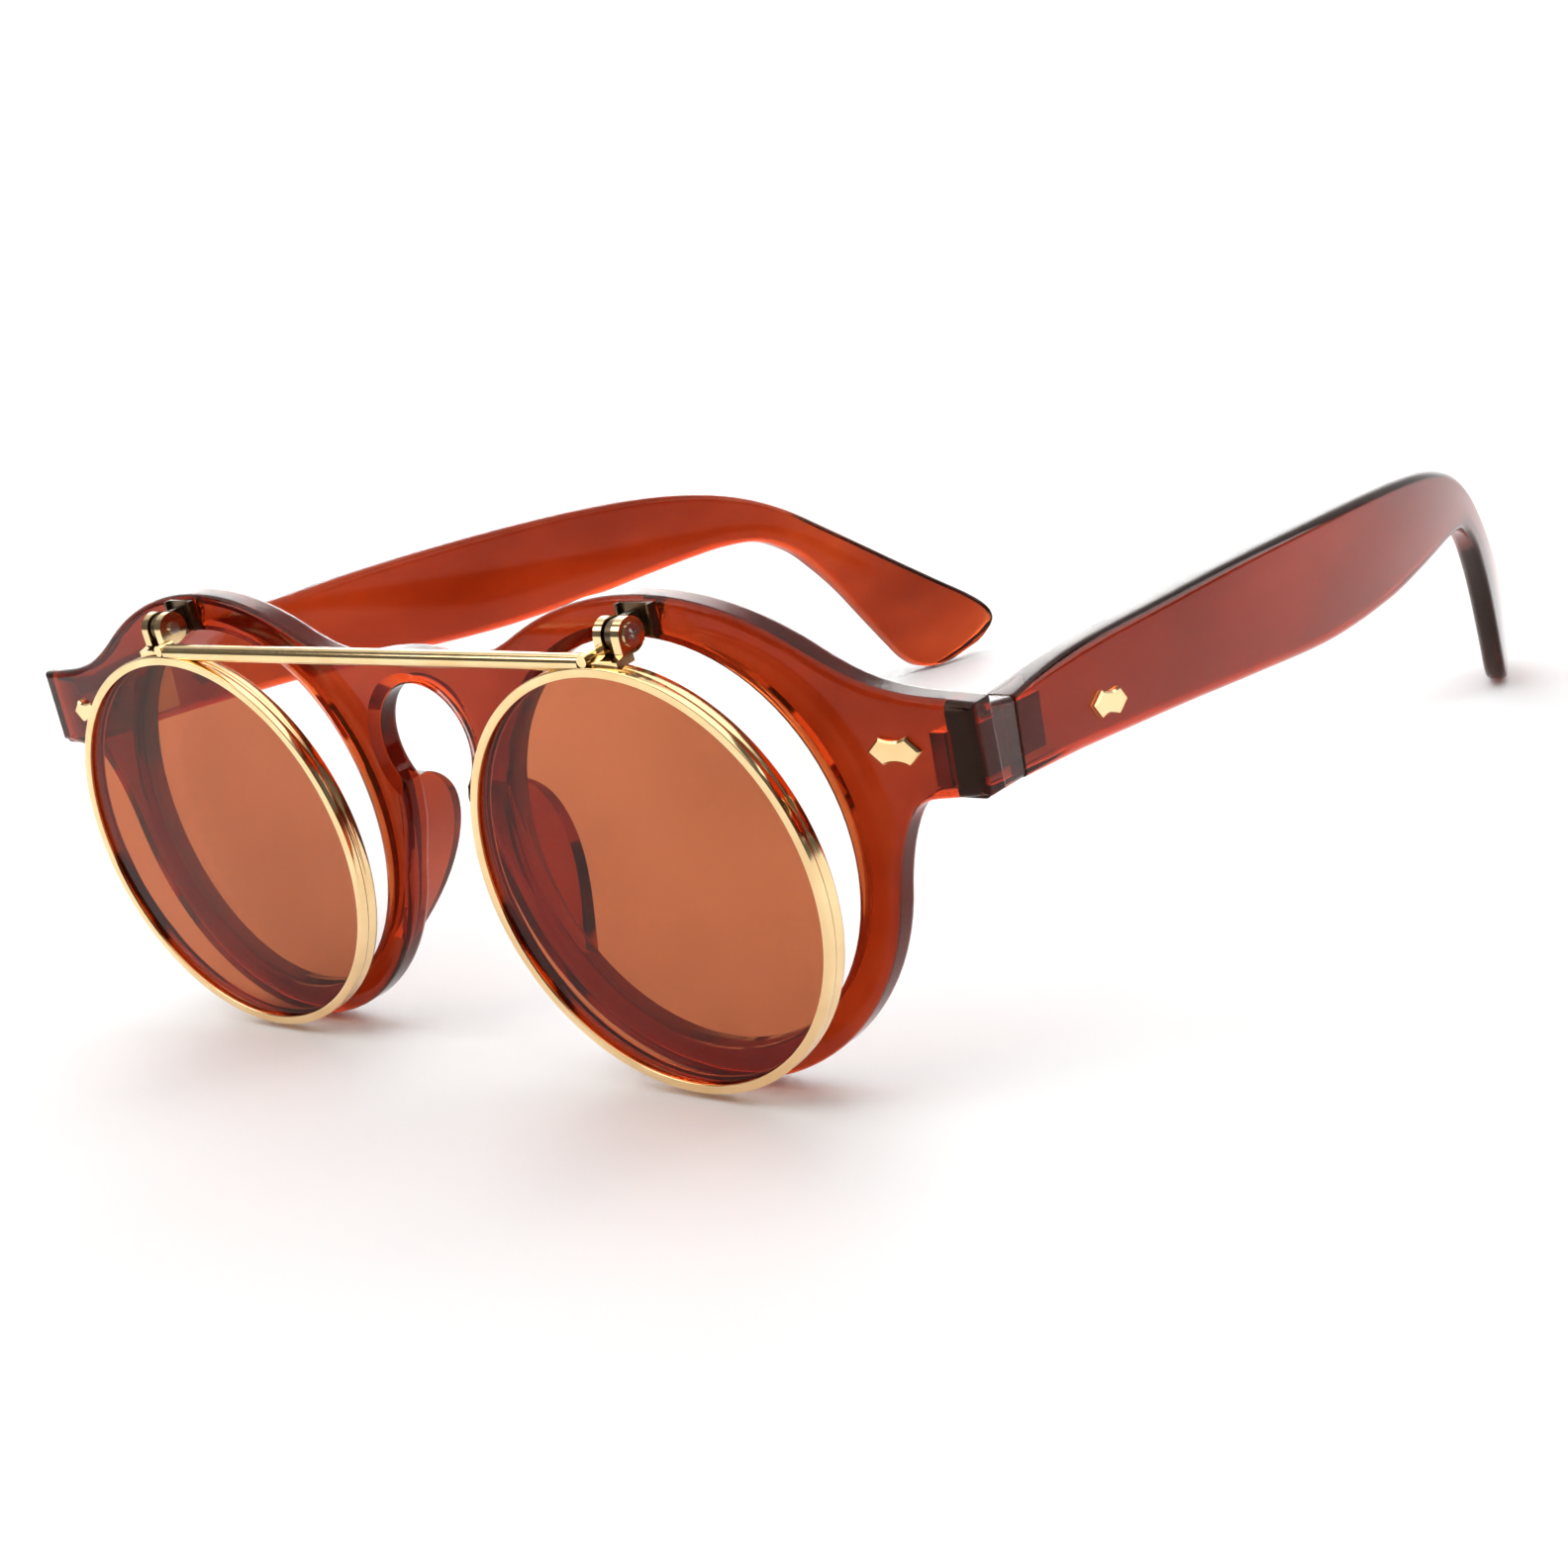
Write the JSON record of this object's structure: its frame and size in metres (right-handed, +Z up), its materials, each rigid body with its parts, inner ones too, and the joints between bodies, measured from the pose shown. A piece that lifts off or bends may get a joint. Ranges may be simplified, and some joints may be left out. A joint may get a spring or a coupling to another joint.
{
  "type": "flip-up round sunglasses",
  "caption": "Round plastic spectacle frame with clear lenses, fold-in temples and a hinged metal front of tinted lenses that flips up or covers them.",
  "frame": {"origin": "on the table, under the middle of the glasses' outline seen from above", "axes": "+X to the viewer's right when facing the front (the right lens, called right), +Y from the lenses back to the temple tips, +Z up"},
  "size_m": [0.142, 0.1672, 0.0518],
  "materials": {
    "amber_plastic": "polished translucent amber",
    "clear_lens": "clear polished",
    "tinted_lens": "brown tint, polished",
    "gold_metal": "polished pale gold",
    "dark_bronze": "satin dark bronze",
    "hinge_steel": "satin",
    "screw_steel": "satin"
  },
  "bodies": {
    "front": {"front_frame": "amber_plastic", "clear_lens_right": "clear_lens", "clear_lens_left": "clear_lens", "front_stud_right": "gold_metal", "front_stud_left": "gold_metal", "front_hinge_leaf_right": "hinge_steel", "front_hinge_leaf_left": "hinge_steel", "temple_hinge_screw_right": "screw_steel", "temple_hinge_screw_left": "screw_steel", "flip_bracket_right": "dark_bronze", "flip_bracket_left": "dark_bronze", "flip_bracket_screw_right": "screw_steel", "flip_bracket_screw_left": "screw_steel"},
    "right_temple": {"temple_right": "amber_plastic", "temple_stud_right": "gold_metal", "temple_hinge_leaf_right": "hinge_steel"},
    "left_temple": {"temple_left": "amber_plastic", "temple_stud_left": "gold_metal", "temple_hinge_leaf_left": "hinge_steel"},
    "flip_front": {"flip_bar": "gold_metal", "flip_clevis_right": "gold_metal", "flip_clevis_left": "gold_metal", "flip_pivot_screw_right": "screw_steel", "flip_pivot_screw_left": "screw_steel", "flip_rim_right": "gold_metal", "flip_rim_left": "gold_metal", "flip_rim_lock_right": "gold_metal", "flip_rim_lock_left": "gold_metal", "flip_lens_right": "tinted_lens", "flip_lens_left": "tinted_lens"}
  },
  "joints": [
    {"name": "right_temple_fold", "type": "hinge", "parent": "front", "child": "right_temple", "pos_m": [0.0646, -0.06608, 0.0353], "axis": [0, 0, 1], "range_deg": [0, 85]},
    {"name": "left_temple_fold", "type": "hinge", "parent": "front", "child": "left_temple", "pos_m": [-0.0646, -0.06608, 0.0353], "axis": [0, 0, -1], "range_deg": [0, 68]},
    {"name": "flip_hinge", "type": "hinge", "parent": "front", "child": "flip_front", "pos_m": [0, -0.08035, 0.04882], "axis": [-1, 0, 0], "range_deg": [0, 95]}
  ]
}
